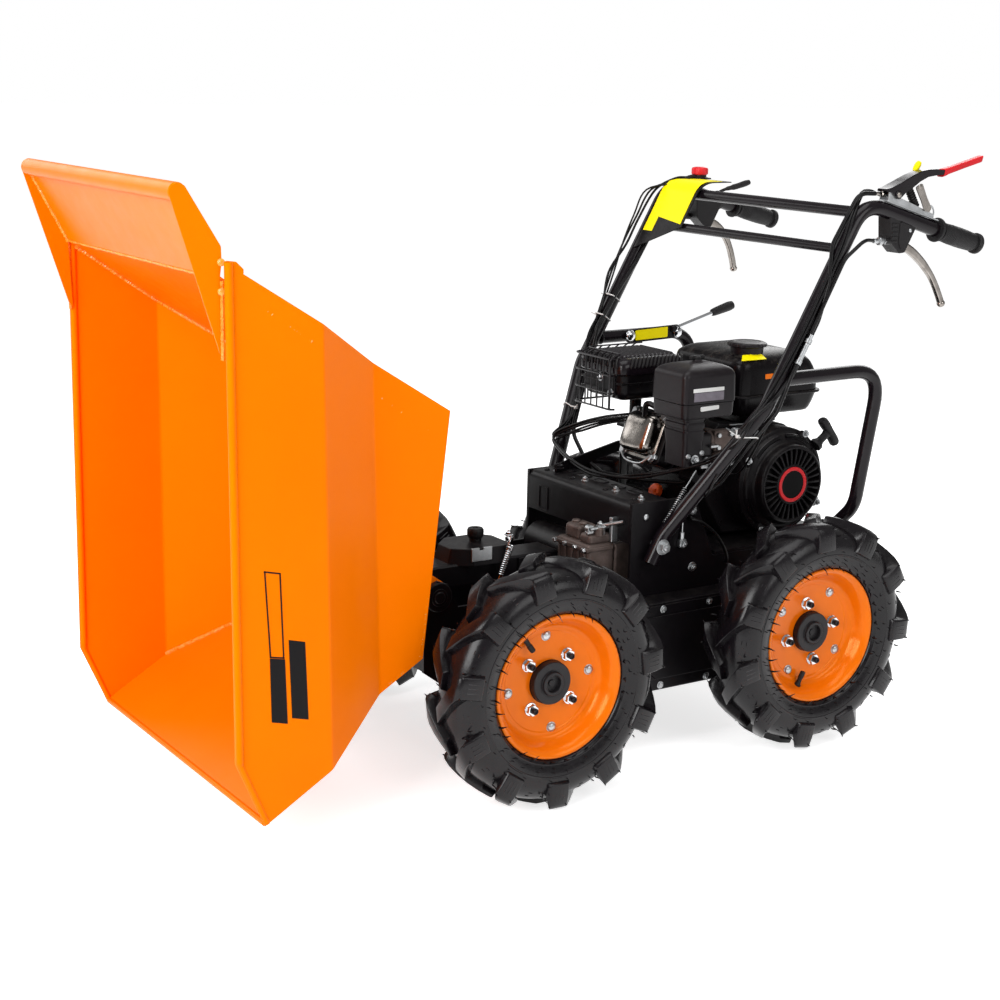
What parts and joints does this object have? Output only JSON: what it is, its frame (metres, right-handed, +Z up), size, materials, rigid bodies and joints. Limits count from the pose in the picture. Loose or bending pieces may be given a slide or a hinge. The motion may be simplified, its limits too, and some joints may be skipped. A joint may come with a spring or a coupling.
{
  "type": "motorized dumper",
  "caption": "Walk-behind, petrol-driven power barrow with an orange tipping tub at the front, wheels with lugged tyres and a tubular black handlebar.",
  "frame": {"origin": "middle of the footprint, on the ground", "axes": "+X towards the tub, the way it drives; +Y to the operator's left; +Z up"},
  "size_m": [1.5408, 0.712, 1.0052],
  "materials": {
    "tyre": "matt moulded rubber",
    "orange_paint": "glossy powder coat",
    "black_paint": "semi-gloss powder coat",
    "black_plastic": "lightly textured",
    "rubber": "soft, matt",
    "chrome": "polished",
    "zinc": "bright zinc plating",
    "cast_alloy": "as cast",
    "red_plastic": "glossy"
  },
  "bodies": {
    "chassis": {"frame_plate_left": "black_paint", "frame_plate_right": "black_paint", "chain_case_left": "black_paint", "chain_case_right": "black_paint", "belly_pan": "black_paint", "engine_deck": "black_paint", "front_cover": "black_paint", "front_beam": "black_paint", "engine_block": "black_paint", "muffler": "black_paint", "handlebar": "black_paint", "guard_left": "black_paint", "guard_right": "black_paint", "control_plate": "black_paint", "recoil_starter": "black_plastic", "recoil_grip": "black_plastic", "fuel_tank": "black_plastic", "fuel_cap": "black_plastic", "air_cleaner": "black_plastic", "switch_housing_left": "black_plastic", "switch_housing_right": "black_plastic", "gear_selector": "black_plastic", "tub_buffer": "rubber", "grip_left": "rubber", "grip_right": "rubber", "cross_cable": "rubber", "shift_cable": "rubber", "valve_cover": "chrome", "brake_lever_left": "chrome", "brake_lever_right": "chrome", "hinge_pin": "zinc", "throttle_lever": "zinc", "gearbox": "cast_alloy", "park_lever": "red_plastic", "stop_switch": "red_plastic"},
    "wheel_front_left": {"tyre_front_left": "tyre", "rim_front_left": "orange_paint", "hub_front_left": "black_paint"},
    "wheel_front_right": {"tyre_front_right": "tyre", "rim_front_right": "orange_paint", "hub_front_right": "black_paint"},
    "wheel_rear_left": {"tyre_rear_left": "tyre", "rim_rear_left": "orange_paint", "hub_rear_left": "black_paint"},
    "wheel_rear_right": {"tyre_rear_right": "tyre", "rim_rear_right": "orange_paint", "hub_rear_right": "black_paint"},
    "tub": {"tub_side_left": "orange_paint", "tub_side_right": "orange_paint", "tub_floor": "orange_paint", "tub_rear_wall": "orange_paint", "tub_front_wall": "orange_paint", "tub_spill_lip": "orange_paint", "tub_hinge_bracket": "orange_paint"}
  },
  "joints": [
    {"name": "wheel_front_left_spin", "type": "hinge", "parent": "chassis", "child": "wheel_front_left", "pos_m": [0.1566, 0.304, 0.202], "axis": [0, 1, 0], "continuous": true},
    {"name": "wheel_front_right_spin", "type": "hinge", "parent": "chassis", "child": "wheel_front_right", "pos_m": [0.1566, -0.304, 0.202], "axis": [0, 1, 0], "continuous": true},
    {"name": "wheel_rear_left_spin", "type": "hinge", "parent": "chassis", "child": "wheel_rear_left", "pos_m": [-0.3874, 0.304, 0.202], "axis": [0, 1, 0], "continuous": true},
    {"name": "wheel_rear_right_spin", "type": "hinge", "parent": "chassis", "child": "wheel_rear_right", "pos_m": [-0.3874, -0.304, 0.202], "axis": [0, 1, 0], "continuous": true},
    {"name": "tub_tip", "type": "hinge", "parent": "chassis", "child": "tub", "pos_m": [0.2716, 0, 0.318], "axis": [0, 1, 0], "range_deg": [-83, 0]}
  ]
}
